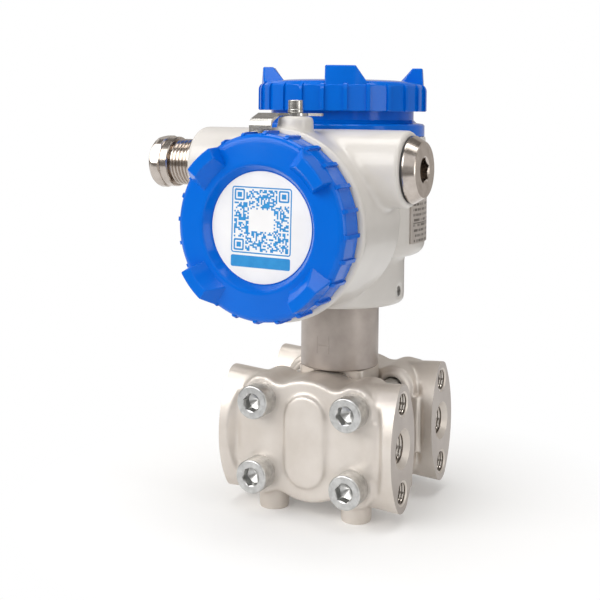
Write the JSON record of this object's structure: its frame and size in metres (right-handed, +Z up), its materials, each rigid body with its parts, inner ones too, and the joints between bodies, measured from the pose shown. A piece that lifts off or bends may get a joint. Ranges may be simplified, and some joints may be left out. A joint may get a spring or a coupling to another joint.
{
  "type": "differential pressure transmitter",
  "caption": "Two-compartment instrument head with screwed covers on a neck tube over a bolted pressure cell with side process ports.",
  "frame": {"origin": "middle of the four cast feet, on the surface they stand on, on the axis of the neck tube", "axes": "+Z up along the neck axis, +X out of the process ports, -Y the high-pressure side and the front cover"},
  "size_m": [0.1411, 0.1419, 0.2147],
  "materials": {
    "cast_stainless": "matte",
    "turned_stainless": "satin",
    "bolt_steel": "satin",
    "grey_paint": "satin",
    "blue_paint": "gloss",
    "nickel_plate": "gloss",
    "plate_steel": "satin",
    "seal_black": "matte",
    "seal_white": "matte",
    "label_film": "satin",
    "black_plastic": "matte",
    "brass_parts": "satin"
  },
  "bodies": {
    "pressure_cell": {"high_side_cover": "cast_stainless", "low_side_cover": "cast_stainless", "sensor_body": "cast_stainless", "cover_seal_high": "seal_white", "cover_seal_low": "seal_white", "diaphragm_high": "turned_stainless", "diaphragm_low": "turned_stainless", "cover_bolts": "bolt_steel", "cover_nuts": "bolt_steel", "drain_plug_high": "turned_stainless", "drain_plug_low": "turned_stainless", "neck_tube": "turned_stainless", "neck_o_ring": "seal_black"},
    "housing": {"housing": "grey_paint", "set_screw": "bolt_steel", "terminal_collar": "blue_paint", "lock_plate": "bolt_steel", "lock_washer": "bolt_steel", "lock_screw": "bolt_steel", "gland_body": "nickel_plate", "gland_seal": "seal_black", "plug_gasket": "seal_black", "conduit_plug": "nickel_plate", "nameplate": "plate_steel", "nameplate_screws": "bolt_steel", "electronics_module": "black_plastic", "module_screws": "bolt_steel", "terminal_block": "black_plastic", "terminal_screws": "brass_parts"},
    "front_cover": {"front_cover": "blue_paint", "front_label": "label_film"},
    "front_cover_thread": {"front_cover_seal": "seal_black"},
    "top_cover": {"top_cover": "blue_paint"},
    "top_cover_thread": {"top_cover_seal": "seal_black"},
    "gland_nut": {"gland_nut": "nickel_plate"}
  },
  "joints": [
    {"name": "housing_turn", "type": "hinge", "parent": "pressure_cell", "child": "housing", "pos_m": [0, 0, 0.1], "axis": [0, 0, 1], "range_deg": [-90, 90]},
    {"name": "front_cover_travel", "type": "slide", "parent": "housing", "child": "front_cover_thread", "axis": [0, -1, 0], "range_m": [0, 0.0091]},
    {"name": "front_cover_turn", "type": "hinge", "parent": "front_cover_thread", "child": "front_cover", "pos_m": [0, -0.08, 0.1419], "axis": [0, -1, 0], "range_deg": [0, 2160]},
    {"name": "top_cover_travel", "type": "slide", "parent": "housing", "child": "top_cover_thread", "axis": [0, 0, 1], "range_m": [0, 0.0091]},
    {"name": "top_cover_turn", "type": "hinge", "parent": "top_cover_thread", "child": "top_cover", "pos_m": [0, 0, 0.2], "axis": [0, 0, 1], "range_deg": [0, 2160]},
    {"name": "gland_nut_turn", "type": "hinge", "parent": "housing", "child": "gland_nut", "pos_m": [-0.075, -0.041, 0.167], "axis": [-1, 0, 0], "range_deg": [0, 360]}
  ],
  "couplings": [
    {"joint": "front_cover_travel", "follows": "front_cover_turn", "m_per_rad": 0.00023873},
    {"joint": "top_cover_travel", "follows": "top_cover_turn", "m_per_rad": 0.00023873}
  ]
}
